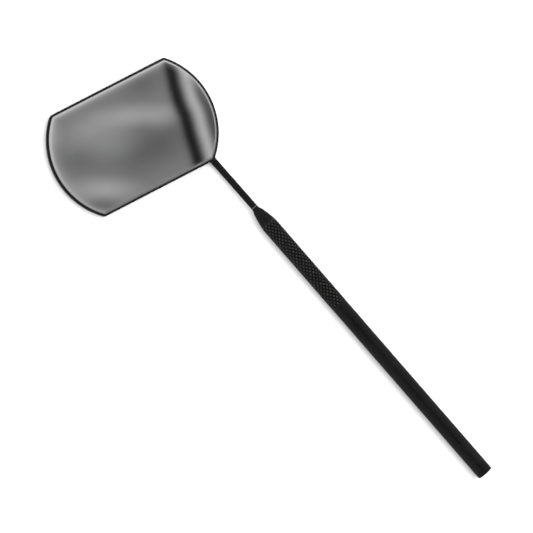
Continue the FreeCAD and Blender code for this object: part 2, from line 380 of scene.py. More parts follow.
def ground_bevel():
    """Polished bevel with a faint trace of the grinding left in it."""
    m, nt, b = new_material("ground_bevel")
    mp = object_coords(nt)
    n1 = node(nt, "ShaderNodeTexNoise", Scale=900.0, Detail=3.0, Roughness=0.6)
    nt.links.new(mp.outputs[0], n1.inputs["Vector"])
    r = map_range(nt, n1.outputs["Fac"], 0.3, 0.7, 0.06, 0.13)
    nt.links.new(r.outputs[0], b.inputs["Roughness"])
    col = ramp(nt, n1.outputs["Fac"], [(0.3, (0.86, 0.87, 0.865)), (0.7, (0.92, 0.925, 0.92))])
    nt.links.new(col.outputs["Color"], b.inputs["Base Color"])
    b.inputs["Metallic"].default_value = 0.93
    return m


def glass_edge():
    """The ground edge and silvered back of the plate, greenish grey."""
    m, nt, b = new_material("glass_edge")
    mp = object_coords(nt)
    n1 = node(nt, "ShaderNodeTexNoise", Scale=1500.0, Detail=2.0, Roughness=0.6)
    nt.links.new(mp.outputs[0], n1.inputs["Vector"])
    col = ramp(nt, n1.outputs["Fac"], [(0.3, (0.20, 0.25, 0.24)), (0.7, (0.32, 0.38, 0.36))])
    nt.links.new(col.outputs["Color"], b.inputs["Base Color"])
    b.inputs["Roughness"].default_value = 0.35
    return m


def bright_steel(name="bright_steel", rough=0.24):
    m, nt, b = new_material(name)
    mp = object_coords(nt, (1, 1, 1))
    n1 = node(nt, "ShaderNodeTexNoise", Scale=3800.0, Detail=2.0, Roughness=0.6)
    nt.links.new(mp.outputs[0], n1.inputs["Vector"])
    col = ramp(nt, n1.outputs["Fac"], [(0.3, (0.60, 0.59, 0.57)), (0.7, (0.74, 0.73, 0.71))])
    nt.links.new(col.outputs["Color"], b.inputs["Base Color"])
    r = map_range(nt, n1.outputs["Fac"], 0.3, 0.7, rough - 0.05, rough + 0.08)
    nt.links.new(r.outputs[0], b.inputs["Roughness"])
    b.inputs["Metallic"].default_value = 1.0
    return m


def sealant():
    m, nt, b = new_material("sealant")
    mp = object_coords(nt)
    n1 = node(nt, "ShaderNodeTexNoise", Scale=1200.0, Detail=3.0, Roughness=0.6)
    nt.links.new(mp.outputs[0], n1.inputs["Vector"])
    col = ramp(nt, n1.outputs["Fac"], [(0.3, grey(0.010)), (0.7, grey(0.017))])
    nt.links.new(col.outputs["Color"], b.inputs["Base Color"])
    b.inputs["Roughness"].default_value = 0.55
    bp = node(nt, "ShaderNodeBump", Strength=0.3, Distance=0.00005)
    nt.links.new(n1.outputs["Fac"], bp.inputs["Height"])
    nt.links.new(bp.outputs["Normal"], b.inputs["Normal"])
    return m


def foam():
    m, nt, b = new_material("pad_foam")
    mp = object_coords(nt)
    v = node(nt, "ShaderNodeTexVoronoi", Scale=1900.0)
    nt.links.new(mp.outputs[0], v.inputs["Vector"])
    col = ramp(nt, v.outputs["Distance"], [(0.0, grey(0.10)), (0.6, grey(0.22))])
    nt.links.new(col.outputs["Color"], b.inputs["Base Color"])
    b.inputs["Roughness"].default_value = 0.9
    bp = node(nt, "ShaderNodeBump", Strength=0.5, Distance=0.0001)
    nt.links.new(v.outputs["Distance"], bp.inputs["Height"])
    nt.links.new(bp.outputs["Normal"], b.inputs["Normal"])
    return m


M_HANDLE = black_coat("handle_coat", base=0.0022, rough=0.34, grain=4.0, spec=0.36, crest=22.0)
M_PLUG = black_coat("plug_coat", base=0.0022, rough=0.36, grain=2.0, spec=0.34)
M_NOSE = black_coat("nose_coat", base=0.0022, rough=0.34, grain=3.0, spec=0.30)
M_STEM = black_coat("stem_coat", base=0.0022, rough=0.36, grain=2.5, spec=0.32)
M_FRAME = black_coat("frame_coat", base=0.0030, rough=0.34, grain=1.5, spec=0.38)
M_PLATE = black_coat("plate_coat", base=0.0048, rough=0.42, grain=1.6)
M_STEEL = bright_steel()
M_THREAD = bright_steel("thread_steel", 0.28)
M_MIRROR = silvered_glass()
M_BEVEL = ground_bevel()
M_EDGE = glass_edge()
M_SEAL = sealant()
M_FOAM = foam()


# ------------------------------------------------------------------ handle tube with its knurl
KNURL_STARTS = 13       # grooves round the barrel, each way
KNURL_LEAD = 1.90       # axial distance between crossings
KNURL_DEPTH = 0.30
KNURL_CREST = 0.06     # crests stand this far proud of the barrel


def knurl_height(x, th, phase=0.0):
    """Height over the smooth barrel: raised diamonds between two crossing sets of V grooves."""
    a = KNURL_STARTS * th / TAU + x / KNURL_LEAD + phase
    b = KNURL_STARTS * th / TAU - x / KNURL_LEAD + phase
    ta = np.abs((a % 1.0) - 0.5) * 2          # 1 in a groove, 0 on a ridge
    tb = np.abs((b % 1.0) - 0.5) * 2

    def groove(t):
        g = np.clip((t - 0.34) / 0.66, 0, 1)
        return g ** 1.1

    h = KNURL_CREST - (KNURL_DEPTH + KNURL_CREST) * np.maximum(groove(ta), groove(tb))
    fade = np.clip((KNURL_X0 - x) / 1.9, 0, 1) * np.clip((x - KNURL_X1) / 1.3, 0, 1)
    fade = fade * fade * (3 - 2 * fade)
    # where the wheels run out only the groove bottoms are left in the smooth barrel
    cut = np.minimum(h, 0.0)
    return np.where(fade >= 1, h, np.maximum(h, cut) * fade)


def build_tube():
    n = 216
    KNURL_START = TUBE_FRONT_X - 0.12
    outer = []
    outer += [(TUBE_FRONT_X, TUBE_BORE_R), (TUBE_FRONT_X, BARREL_R - 0.05)]
    outer += [(TUBE_FRONT_X - 0.015, BARREL_R - 0.02), (TUBE_FRONT_X - 0.05, BARREL_R)]
    k = 352
    for i in range(k + 1):
        outer.append((KNURL_START + (KNURL_X1 - KNURL_START) * i / k, BARREL_R))
    m = 26
    end_x = TUBE_END_X + 0.40
    for i in range(1, m + 1):
        outer.append((KNURL_X1 - 0.3 + (end_x - KNURL_X1 + 0.3) * i / m, BARREL_R))
    outer += [(TUBE_END_X + 0.40 + 0.40 * math.cos(math.radians(a)), BARREL_R - 0.40 + 0.40 * math.sin(math.radians(a)))
              for a in (105, 120, 135, 150, 165, 180)]
    outer += [(TUBE_END_X, TUBE_BORE_R + 0.10), (TUBE_END_X + 0.03, TUBE_BORE_R + 0.03), (TUBE_END_X + 0.10, TUBE_BORE_R)]
    outer += [(TUBE_END_X + 7.5, TUBE_BORE_R), (-60.0, TUBE_BORE_R), (-12.2, TUBE_BORE_R)]

    def radius(i, x, r, th):
        if r > BARREL_R - 0.06 and KNURL_X1 <= x <= TUBE_FRONT_X:
            return r + knurl_height(np.full(len(th), x), th)
        return np.full(len(th), r)

    v, f = lathe(outer, n, True, radius)
    return make_mesh("handle_tube_knurled", v, f, "handle", M_HANDLE, ("handle_tube",), 42)


# ------------------------------------------------------------------ nose with its threaded bore
def natural_spline(points, samples):
    """Smooth curve through (x, r) points, uniform Catmull-Rom, the same number of samples on each span."""
    p = np.array(points, float)
    p = np.vstack([2 * p[0] - p[1], p, 2 * p[-1] - p[-2]])
    out = []
    for i in range(1, len(p) - 2):
        p0, p1, p2, p3 = p[i - 1], p[i], p[i + 1], p[i + 2]
        for s in range(samples):
            t = s / samples
            out.append(tuple(0.5 * ((2 * p1) + (-p0 + p2) * t + (2 * p0 - 5 * p1 + 4 * p2 - p3) * t * t
                                    + (-p0 + 3 * p1 - 3 * p2 + p3) * t ** 3)))
    out.append(tuple(p[-2]))
    return out


def thread_phase(x, th):
    return (x + 0.60) / PITCH - (th + math.pi / 2) / TAU


def ridge(phase, root_w, crest_w, root_r, crest_r):
    """Radius of a trapezoid thread; widths in mm at root and crest."""
    d = np.abs(((phase + 0.5) % 1.0) - 0.5) * PITCH
    t = np.clip((root_w / 2 - d) / (root_w / 2 - crest_w / 2), 0, 1)
    return root_r + (crest_r - root_r) * t


OGIVE = [(4.35, 1.27), (4.00, 1.36), (3.62, 1.54), (3.26, 1.70), (2.54, 1.92), (1.81, 2.10), (1.09, 2.27),
         (0.0, 2.51), (-1.09, 2.71), (-2.18, 2.87), (-3.10, 2.96), (TUBE_FRONT_X, BARREL_R)]


def build_nose():
    n = 216
    prof = [(-3.45, 0.0005), (-3.30, 0.45), (-3.20, 0.82)]
    thread = np.arange(-2.30, 4.48, PITCH / 14)
    prof += [(x, 0.82) for x in thread]
    prof += [(4.49, 0.82), (4.52, 1.07), (4.55, 1.10), (NOSE_TIP_X - 0.05, 1.10), (NOSE_TIP_X, 1.13)]
    prof += [(NOSE_TIP_X, 1.17), (NOSE_TIP_X - 0.02, 1.215), (NOSE_TIP_X - 0.08, 1.25), (4.66, 1.257)]
    curve = natural_spline(OGIVE, 7)
    prof += [p for p in curve if p[0] > KNURL_X0 + 0.05]
    xs = np.linspace(KNURL_X0, TUBE_FRONT_X + 0.01, 22)
    cx = [p[0] for p in curve][::-1]
    cr = [p[1] for p in curve][::-1]
    prof += [(x, float(np.interp(x, cx, cr))) for x in xs]
    prof += [(TUBE_FRONT_X, BARREL_R - 0.12), (TUBE_FRONT_X, 2.19), (-11.4, 2.19), (-11.8, 1.79), (-11.8, 0.0005)]

    def radius(i, x, r, th):
        if r == 0.82 and -2.30 <= x <= 4.50:
            run = np.clip((x + 2.30) / 0.25, 0, 1)
            return 0.82 + (ridge(thread_phase(x, th), 0.32, 0.10, 0.82, 1.04) - 0.82) * run
        if r > 2.5 and TUBE_FRONT_X + 0.005 <= x <= KNURL_X0:
            return r + knurl_height(np.full(len(th), x), th)
        return np.full(len(th), r)

    v, f = lathe(prof, n, False, radius)
    v = list(v)
    cap(v, f, 0, n, tuple(to_row((-3.45, 0, AXIS_Z))))
    cap(v, f, (len(prof) - 1) * n, n, tuple(to_row((-11.8, 0, AXIS_Z))))
    ob = make_mesh("handle_nose_turned", v, f, "handle", M_NOSE, ("handle_nose",), 30)
    ob.data.materials.append(M_HANDLE)
    limit = to_row((KNURL_X0 - 0.05, 0, 0))[0]
    for poly in ob.data.polygons:
        c = poly.center
        if c.x < limit and math.hypot(c.y - to_row((0, 0, 0))[1], c.z - AXIS_Z / 1000) > 0.0025:
            poly.material_index = 1
    return ob


def build_plug():
    n = 96
    r = 2.19
    x0, x1 = TUBE_END_X + 0.05, TUBE_END_X + 7.0
    prof = [(x0 + 0.10, 0.0005), (x0 + 0.10, 0.5), (x0 + 0.06, 0.9), (x0, 1.3), (x0, r - 0.16)]
    prof += [(x0 + 0.03, r - 0.07), (x0 + 0.10, r - 0.02), (x0 + 0.18, r), (x1 - 0.4, r), (x1, r - 0.4), (x1, 0.0005)]
    v, f = lathe(prof, n)
    v = list(v)
    cap(v, f, 0, n, tuple(to_row((x0 + 0.10, 0, AXIS_Z))))
    cap(v, f, (len(prof) - 1) * n, n, tuple(to_row((x1, 0, AXIS_Z))))
    return make_mesh("end_plug_turned", v, f, "handle", M_PLUG, ("end_plug",), 30)


def build_washer():
    n = 96
    x0, x1 = NOSE_TIP_X + 0.02, NOSE_TIP_X + 0.24
    ro, ri, c = 1.36, 1.03, 0.05
    prof = [(x0, ri), (x0, ro - c), (x0 + 0.015, ro - 0.015), (x0 + c, ro), (x1 - c, ro), (x1 - 0.015, ro - 0.015),
            (x1, ro - c), (x1, ri)]
    th = np.arange(n) * TAU / n
    verts = []
    for x, r in prof:
        off = -0.03 if r > 1.1 else 0.0
        verts.append(np.stack([np.full(n, x), off + r * np.cos(th), AXIS_Z + r * np.sin(th)], 1))
    v = [tuple(p) for p in to_row(np.concatenate(verts))]
    f = rings_to_faces(len(prof), n, True)
    return make_mesh("lock_washer_ring", v, f, "washer", M_STEEL, ("lock_washer",), 30)


# ------------------------------------------------------------------ stem
def stem_curve(t):
    z0, ze = AXIS_Z, STEM_END[2]
    P = np.array([
        [SHOULDER_X, 0, z0], [SHOULDER_X + 8.5, 0, z0],
        [STEM_END[0] - 8.5, STEM_END[1] - 0.02, ze + 0.15], [STEM_END[0], STEM_END[1], ze],
    ])
    t = np.asarray(t)[:, None]
    p = (1 - t) ** 3 * P[0] + 3 * (1 - t) ** 2 * t * P[1] + 3 * (1 - t) * t * t * P[2] + t ** 3 * P[3]
    d = 3 * (1 - t) ** 2 * (P[1] - P[0]) + 6 * (1 - t) * t * (P[2] - P[1]) + 3 * t * t * (P[3] - P[2])
    return p, d / np.linalg.norm(d, axis=1)[:, None]


_outline = head_ring(0.0, 0.0)
_near = _outline[(_outline[:, 0] < 36.0) & (np.abs(_outline[:, 1] - 0.0) < 6.0)]
_near = _near[np.argsort(_near[:, 1])]


def wall_x(y, z):
    """x of the frame's outer skin next to the stem, with its rounded front and back edges."""
    back = 0.0
    z = np.asarray(z, float)
    x = np.interp(y, _near[:, 1], _near[:, 0])
    zf, rf = HEAD_T - 0.38, 0.38
    zb, rb = 0.30, 0.30
    dz = np.clip(z - zf, 0, rf)
    x = x + (rf - np.sqrt(np.maximum(rf * rf - dz * dz, 0)))
    dz = np.clip(zb - z, 0, rb)
    return x + (rb - np.sqrt(np.maximum(rb * rb - dz * dz, 0))) + back


def build_stem():
    n = 64
    th = np.arange(n) * TAU / n
    rings = []

    def add(x, r):
        rings.append(np.stack([np.full(n, x), r * np.cos(th), AXIS_Z + r * np.sin(th)], 1))

    add(-0.95, np.full(n, 0.0005))
    add(-0.95, np.full(n, 0.40))
    add(-0.66, np.full(n, 0.70))
    for x in np.arange(-0.62, 4.46, PITCH / 14):
        run = np.clip((x + 0.62) / 0.30, 0, 1) * np.clip((4.46 - x) / 0.25, 0, 1)
        add(x, 0.74 + (ridge(thread_phase(x, th), 0.255, 0.055, 0.74, 0.96) - 0.74) * run)
    add(4.50, np.full(n, 0.76))
    add(4.74, np.full(n, 0.76))
    add(4.78, np.full(n, 0.93))
    add(SHOULDER_X - 0.02, np.full(n, 0.95))
    add(SHOULDER_X, np.full(n, 0.98))
    add(SHOULDER_X, np.full(n, STEM_R - 0.08))
    add(SHOULDER_X + 0.025, np.full(n, STEM_R - 0.025))
    first_rod = len(rings)
    # rod along its path; a frame that keeps one side of the rod towards +Y
    p, d = stem_curve(np.linspace(0.004, 0.985, 60))
    for c, t in zip(p, d):
        side = np.cross([0, 0, 1.0], t)
        side /= np.linalg.norm(side)
        up = np.cross(t, side)
        rings.append(c + STEM_R * (np.cos(th)[:, None] * side + np.sin(th)[:, None] * up))
    # cope the end onto the frame's wall
    keep = []
    for r in rings:
        if r[:, 0].max() > 26.9:
            continue
        keep.append(r)
    last = keep[-1]
    c, t = stem_curve(np.array([0.97]))
    for s in (0.5, 1.0):
        ring = last.copy()
        target = wall_x(last[:, 1], np.clip(last[:, 2] - 0.05, 0.02, HEAD_T - 0.02)) + 0.22
        ring[:, 0] = last[:, 0] * (1 - s) + target * s
        ring[:, 1] = last[:, 1]
        ring[:, 2] = last[:, 2] - 0.05 * s
        keep.append(ring)
    rings = keep
    v = [tuple(q) for q in to_row(np.concatenate(rings))]
    f = rings_to_faces(len(rings), n)
    cap(v, f, 0, n, tuple(to_row((-0.95, 0, AXIS_Z))))
    e = rings[-1].mean(0)
    cap(v, f, (len(rings) - 1) * n, n, tuple(to_row((e[0] + 0.02, e[1], e[2]))))
    ob = make_mesh("stem_rod", v, f, "head", M_STEM, ("stem",), 30)
    ob.data.materials.append(M_THREAD)
    limit = to_row((SHOULDER_X + 0.01, 0, 0))[0]
    for poly in ob.data.polygons:
        if poly.center.x < limit:
            poly.material_index = 1
    return ob


def build_braze():
    """A thin fillet of braze that creeps up the rod and out on the frame's corner."""
    n = 96
    th = np.arange(n) * TAU / n
    rng = np.random.default_rng(7)
    ph = rng.uniform(0, TAU, 4)
    wob = 0.03 * np.sin(3 * th + ph[0]) + 0.02 * np.sin(5 * th + ph[1]) + 0.015 * np.sin(9 * th + ph[2])
    c, t = stem_curve(np.array([0.955]))
    cy, cz = c[0, 1], c[0, 2]
    rings = []
    steps = 9
    for i in range(steps + 1):
        s = i / steps
        r = STEM_R - 0.01 + (0.20 + wob * 0.6) * (s ** 2.2) + 0.012 * math.sin(s * math.pi)
        back = (0.62 + wob * 2.0) * (1 - s)
        y = cy + r * np.cos(th)
        z = cz + 0.02 + r * np.sin(th)
        zz = np.clip(z, 0.03, HEAD_T - 0.03)
        x = wall_x(y, zz) + 0.03 - back
        z = np.where(s > 0.4, np.clip(z, 0.04, HEAD_T - 0.05), z)
        rings.append(np.stack([x, y, z], 1))
    inner = rings[-1].copy()
    inner[:, 0] += 0.12
    rings.append(inner)
    core = np.stack([inner[:, 0] + 0.02, cy + (STEM_R - 0.2) * np.cos(th), cz + (STEM_R - 0.2) * np.sin(th)], 1)
    rings.append(core)
    start = rings[0].copy()
    start[:, 1] = cy + (STEM_R - 0.2) * np.cos(th)
    start[:, 2] = cz + 0.02 + (STEM_R - 0.2) * np.sin(th)
    rings.insert(0, start)
    v = [tuple(q) for q in to_row(np.concatenate(rings))]
    f = rings_to_faces(len(rings), n, True)
    return make_mesh("stem_braze_fillet", v, f, "head", M_FRAME, ("stem_braze",), 50)


# ------------------------------------------------------------------ head pieces
def build_frame():
    prof = [(1.50, 0.03), (1.50, 0.37), (1.47, 0.40), (0.44, 0.40), (0.40, 0.44), (0.40, 2.86), (0.44, 2.90)]
    prof += [(0.64, 2.90), (0.67, 2.93), (0.67, 3.02)]
    # rolled lip edge: rounded towards the glass
    prof += [(0.67 - 0.18 + 0.18 * math.cos(math.radians(a)), 3.02 + 0.18 * math.sin(math.radians(a))) for a in (22, 45, 68, 90)]
    prof += [(0.38, 3.20)]
    prof += [(0.38 - 0.38 * math.sin(math.radians(a)), 2.82 + 0.38 * math.cos(math.radians(a))) for a in (11, 22, 33, 45, 57, 68, 79, 90)]
    prof += [(0.0, 2.2), (0.0, 1.6), (0.0, 1.0), (0.0, 0.30)]
    prof += [(0.30 - 0.30 * math.cos(math.radians(a)), 0.30 - 0.30 * math.sin(math.radians(a))) for a in (15, 30, 45, 60, 75, 90)]
    prof += [(0.90, 0.0), (1.47, 0.0)]
    v, f = head_loft(prof, True)
    return make_mesh("bezel_frame_pressed", v, f, "head", M_FRAME, ("bezel_frame",), 40)


def build_plate():
    prof = [(2.05, 0.45), (2.05, 0.80), (2.10, 0.85), (0.50, 0.85), (0.46, 0.82), (0.45, 0.78), (0.45, 0.46), (0.48, 0.42),
            (1.55, 0.42), (1.60, 0.38), (1.60, 0.14), (1.63, 0.05), (1.74, 0.0), (2.6, 0.0)]
    v, f = head_loft(prof, False, True, True)
    return make_mesh("back_plate_pressed", v, f, "head", M_PLATE, ("back_plate",), 35)


# width and slope of each facet from the ground edge inwards
BEVEL_STEPS = [(0.35, 0.28), (0.35, 0.28), (0.32, 0.28), (0.10, 0.0), (0.30, 0.0)]


def build_glass():
    prof = [(0.58, 1.20), (0.50, 1.28), (0.50, 2.49)]
    # ground bevel, then the flat face
    for du, slope in BEVEL_STEPS:
        prof.append((prof[-1][0] + du, prof[-1][1] + du * slope))
    lift = 2.85 - prof[-1][1]
    prof = prof[:2] + [(u, z + lift) for u, z in prof[2:]]
    v, f = head_loft(prof, False, True, True)
    ob = make_mesh("mirror_glass_bevelled", v, f, "head", M_MIRROR, ("mirror_glass",), 9)
    ob.data.materials.append(M_BEVEL)
    ob.data.materials.append(M_EDGE)
    for poly in ob.data.polygons:
        z = abs(poly.normal.z)
        if poly.normal.z > 0.985:
            poly.material_index = 0
        elif poly.normal.z > 0.5:
            poly.material_index = 1
        else:
            poly.material_index = 2
    # the bevel and edge are smooth round the outline
    return ob


def build_seal():
    prof = [(0.41, 2.3), (0.485, 2.3), (0.485, 2.60), (0.66, 2.655), (0.65, 2.74), (0.62, 2.82), (0.58, 2.89), (0.41, 2.89)]
    v, f = head_loft(prof, True)
    return make_mesh("edge_seal_bead", v, f, "head", M_SEAL, ("edge_seal",), 40)


build_tube()
build_nose()
build_plug()
build_washer()
build_stem()
build_braze()
build_frame()
build_plate()
build_glass()
build_seal()

pad = frame["nodes"]["backing_pad"]
pad.data.materials.clear()
pad.data.materials.append(M_FOAM)

# ------------------------------------------------------------------ light settings
WORLD_RAMP = [(-1.0, 0.28), (-0.45, 0.35), (0.0, 0.48), (0.30, 0.43), (0.60, 0.33), (0.76, 0.33), (0.80, 0.33), (0.843, 0.3075),
              (0.90, 0.360), (0.93, 0.25), (0.96, 0.11), (0.985, 0.07), (1.0, 0.06)]
WORLD_LEAN = (-0.56, 0.83)      # to the image's right, to its top
SIDE_RAMP = [(-1.0, 0.0), (0.0, 0.02), (0.4, 0.08), (0.65, 0.20), (0.78, 0.418), (0.84, 0.400), (0.90, 0.353), (0.95, 0.15), (1.0, 0.0)]
# how the side light falls off from the light side to the dark one
SIDE_CURVE = [(-0.60, -0.5), (-0.54, -0.5), (-0.27, -0.20), (-0.18, -0.05), (0.0, 0.18), (0.14, 0.35), (0.24, 0.42), (0.51, 0.5), (0.60, 0.5)]
KEY_POWER = 2.20
FILL_POWER = 2.40
CARD_HEIGHT = 1.00
CARD_BASE = 0.185
# soft clouds: centre x, y, half-widths (mm on the mirror), turn, amount
# the card is lighter towards the mirror's outline on three sides: distance inside the outline (mm), amount
RIM_TOP = [(0.0, 0.34), (1.45, 0.25), (1.63, 0.20), (1.81, 0.155), (2.18, 0.100), (2.54, 0.058), (2.90, 0.033), (3.60, 0.010), (4.6, 0.0)]
RIM_LEFT = [(0.0, 0.34), (1.60, 0.25), (1.99, 0.165), (2.18, 0.130), (2.54, 0.093), (2.90, 0.064), (3.63, 0.032), (4.35, 0.018), (5.8, 0.0)]
RIM_RIGHT = [(0.0, 0.22), (1.30, 0.14), (1.63, 0.085), (1.99, 0.065), (2.36, 0.045), (2.90, 0.018), (3.60, 0.0)]
RIM_NEAR = [(0.0, 0.0), (1.55, 0.0), (1.90, 0.018), (2.10, 0.018), (2.50, 0.0), (3.0, 0.0)]
CARD_BLOBS = [
    (6.3, -5.6, 13.5, 3.8, 24, 0.115),
    (-11.0, -9.0, 12.5, 6.0, 12, 0.095),
    (-17.5, 12.6, 12.5, 4.0, 27, 0.130),
    (5.2, 6.8, 16.0, 8.0, 4, -0.068),
    (-18.0, 1.0, 10.0, 4.0, 20, -0.045),
    (12.0, -15.5, 9.5, 5.0, 8, -0.055),
    (-22.5, 17.0, 6.0, 3.5, 20, -0.070),
    (-27.0, -14.5, 4.5, 5.0, 0, 0.060),
    (-30.0, 6.0, 3.5, 8.0, 0, 0.022),
    (13.5, -1.0, 6.0, 4.5, 0, 0.050),
    (-8.5, 0.8, 10.0, 4.5, 6, 0.050),
]
STRIPE_X = 20.58
STRIPE_KEEP = [(-14, 1.0), (-6.0, 1.0), (-4.4, 0.95), (-3.6, 0.84), (-2.9, 0.67), (-2.2, 0.43), (-1.45, 0.20), (-0.7, 0.095), (0.0, 0.062), (0.9, 0.03), (1.6, 0.0)]
STRIPE_LIGHT = [(-0.9, 0.0), (0.0, 0.005), (0.75, 0.019), (1.45, 0.055), (2.2, 0.125), (2.9, 0.215), (3.6, 0.300), (4.35, 0.365), (5.1, 0.385),
                (5.8, 0.345), (6.5, 0.265), (7.3, 0.175), (8.0, 0.110), (8.8, 0.080), (9.8, 0.085), (11.0, 0.14), (12.4, 0.20), (14.0, 0.24)]
# the stripe isn't quite straight: y on the mirror, sideways shift (mm)
STRIPE_BEND = [(-17.0, 0.40), (-15.0, 0.36), (-12.3, 0.08), (-9.4, -0.26), (-6.5, -0.34), (-3.6, -0.38), (-0.7, -0.18), (2.2, 0.28), (5.1, 0.28),
               (8.0, 0.12), (11.0, 0.08), (14.0, 0.12), (17.0, 0.02)]


# ------------------------------------------------------------------ floor, light, camera
def stage_floor():
    me = bpy.data.meshes.new("floor")
    s = 6.0
    me.from_pydata([(-s, -s, 0), (s, -s, 0), (s, s, 0), (-s, s, 0)], [], [(0, 1, 2, 3)])
    ob = bpy.data.objects.new("floor", me)
    ob.location.z = -0.00006
    bpy.context.scene.collection.objects.link(ob)
    m, nt, b = new_material("floor_paper")
    mp = object_coords(nt)
    n1 = node(nt, "ShaderNodeTexNoise", Scale=3.0, Detail=2.0, Roughness=0.5)
    nt.links.new(mp.outputs[0], n1.inputs["Vector"])
    col = ramp(nt, n1.outputs["Fac"], [(0.3, grey(0.925)), (0.7, grey(0.935))])
    nt.links.new(col.outputs["Color"], b.inputs["Base Color"])
    b.inputs["Roughness"].default_value = 0.9
    b.inputs["Specular IOR Level"].default_value = 0.1
    me.materials.append(m)
    ob.visible_glossy = False
    return ob


stage_floor()

scene = bpy.context.scene
# Image directions of the camera, in the row's frame
CAM_SPIN = Matrix.Rotation(math.radians(0.17), 3, "Z")
RIGHT = CAM_SPIN @ Vector((-0.656809, -0.741611, 0.136436))
DOWN = CAM_SPIN @ Vector((-0.751101, 0.65944, -0.031385))
BACK = CAM_SPIN @ Vector((0.066696, 0.123091, 0.990152))
CAM_HANDLE = CAM_SPIN @ Vector((119.42, 257.0, 1979.9))
CAM = Vector(to_row((CAM_HANDLE[0], CAM_HANDLE[1], CAM_HANDLE[2] + AXIS_Z)))


def from_image(right, up, height):
    """Direction given by how far it leans to the image's right and top."""
    v = RIGHT * right - DOWN * up
    v.z = 0
    return Vector((v.x, v.y, height))


# Surroundings that the coat and the mirror's bevel reflect: dim overhead, lighter all round,
# lightest towards the top left of the image.
world = bpy.data.worlds.new("studio")
scene.world = world
world.use_nodes = True
wn = world.node_tree
wn.nodes.clear()
w_out = wn.nodes.new("ShaderNodeOutputWorld")
w_bg = wn.nodes.new("ShaderNodeBackground")
wn.links.new(w_bg.outputs[0], w_out.inputs["Surface"])
w_tc = wn.nodes.new("ShaderNodeTexCoord")
w_sep = wn.nodes.new("ShaderNodeSeparateXYZ")
wn.links.new(w_tc.outputs["Generated"], w_sep.inputs[0])
w_z = map_range(wn, w_sep.outputs["Z"], -1, 1, 0, 1)


def zpos(z):
    return (z + 1) / 2


w_ramp = ramp(wn, w_z.outputs[0], [(zpos(z), grey(v)) for z, v in WORLD_RAMP])
w_dot = wn.nodes.new("ShaderNodeVectorMath")
w_dot.operation = "DOT_PRODUCT"
wn.links.new(w_tc.outputs["Generated"], w_dot.inputs[0])
lean = from_image(*WORLD_LEAN, 0.0).normalized()
w_dot.inputs[1].default_value = tuple(lean)
w_strength = ramp(wn, w_z.outputs[0], [(zpos(z), grey(v / 2)) for z, v in SIDE_RAMP])
w_pos = map_range(wn, w_dot.outputs["Value"], -0.6, 0.6, 0, 1)
w_curve = ramp(wn, w_pos.outputs[0], [((t + 0.6) / 1.2, grey(v + 0.5)) for t, v in SIDE_CURVE])
w_pick = map_range(wn, w_curve.outputs["Color"], 0, 1, -1.0, 1.0)
w_side = wn.nodes.new("ShaderNodeMath")
w_side.operation = "MULTIPLY_ADD"
wn.links.new(w_pick.outputs[0], w_side.inputs[0])
wn.links.new(w_strength.outputs["Color"], w_side.inputs[1])
wn.links.new(w_ramp.outputs["Color"], w_side.inputs[2])
w_max = wn.nodes.new("ShaderNodeMath")
w_max.operation = "MAXIMUM"
w_max.inputs[1].default_value = 0.03
wn.links.new(w_side.outputs[0], w_max.inputs[0])
wn.links.new(w_max.outputs[0], w_bg.inputs["Color"])
w_bg.inputs["Strength"].default_value = 1.0


def sun(name, to_light, energy, angle_deg, glossy=False):
    d = bpy.data.lights.new(name, "SUN")
    d.energy = energy
    d.angle = math.radians(angle_deg)
    ob = bpy.data.objects.new(name, d)
    scene.collection.objects.link(ob)
    ob.rotation_mode = "QUATERNION"
    ob.rotation_quaternion = Vector(to_light).normalized().to_track_quat("Z", "Y")
    ob.visible_glossy = glossy
    return ob


sun("key", from_image(0.85, 0.40, 1.75), KEY_POWER, 55)
sun("fill", (0.0, 0.0, 1.0), FILL_POWER, 175)


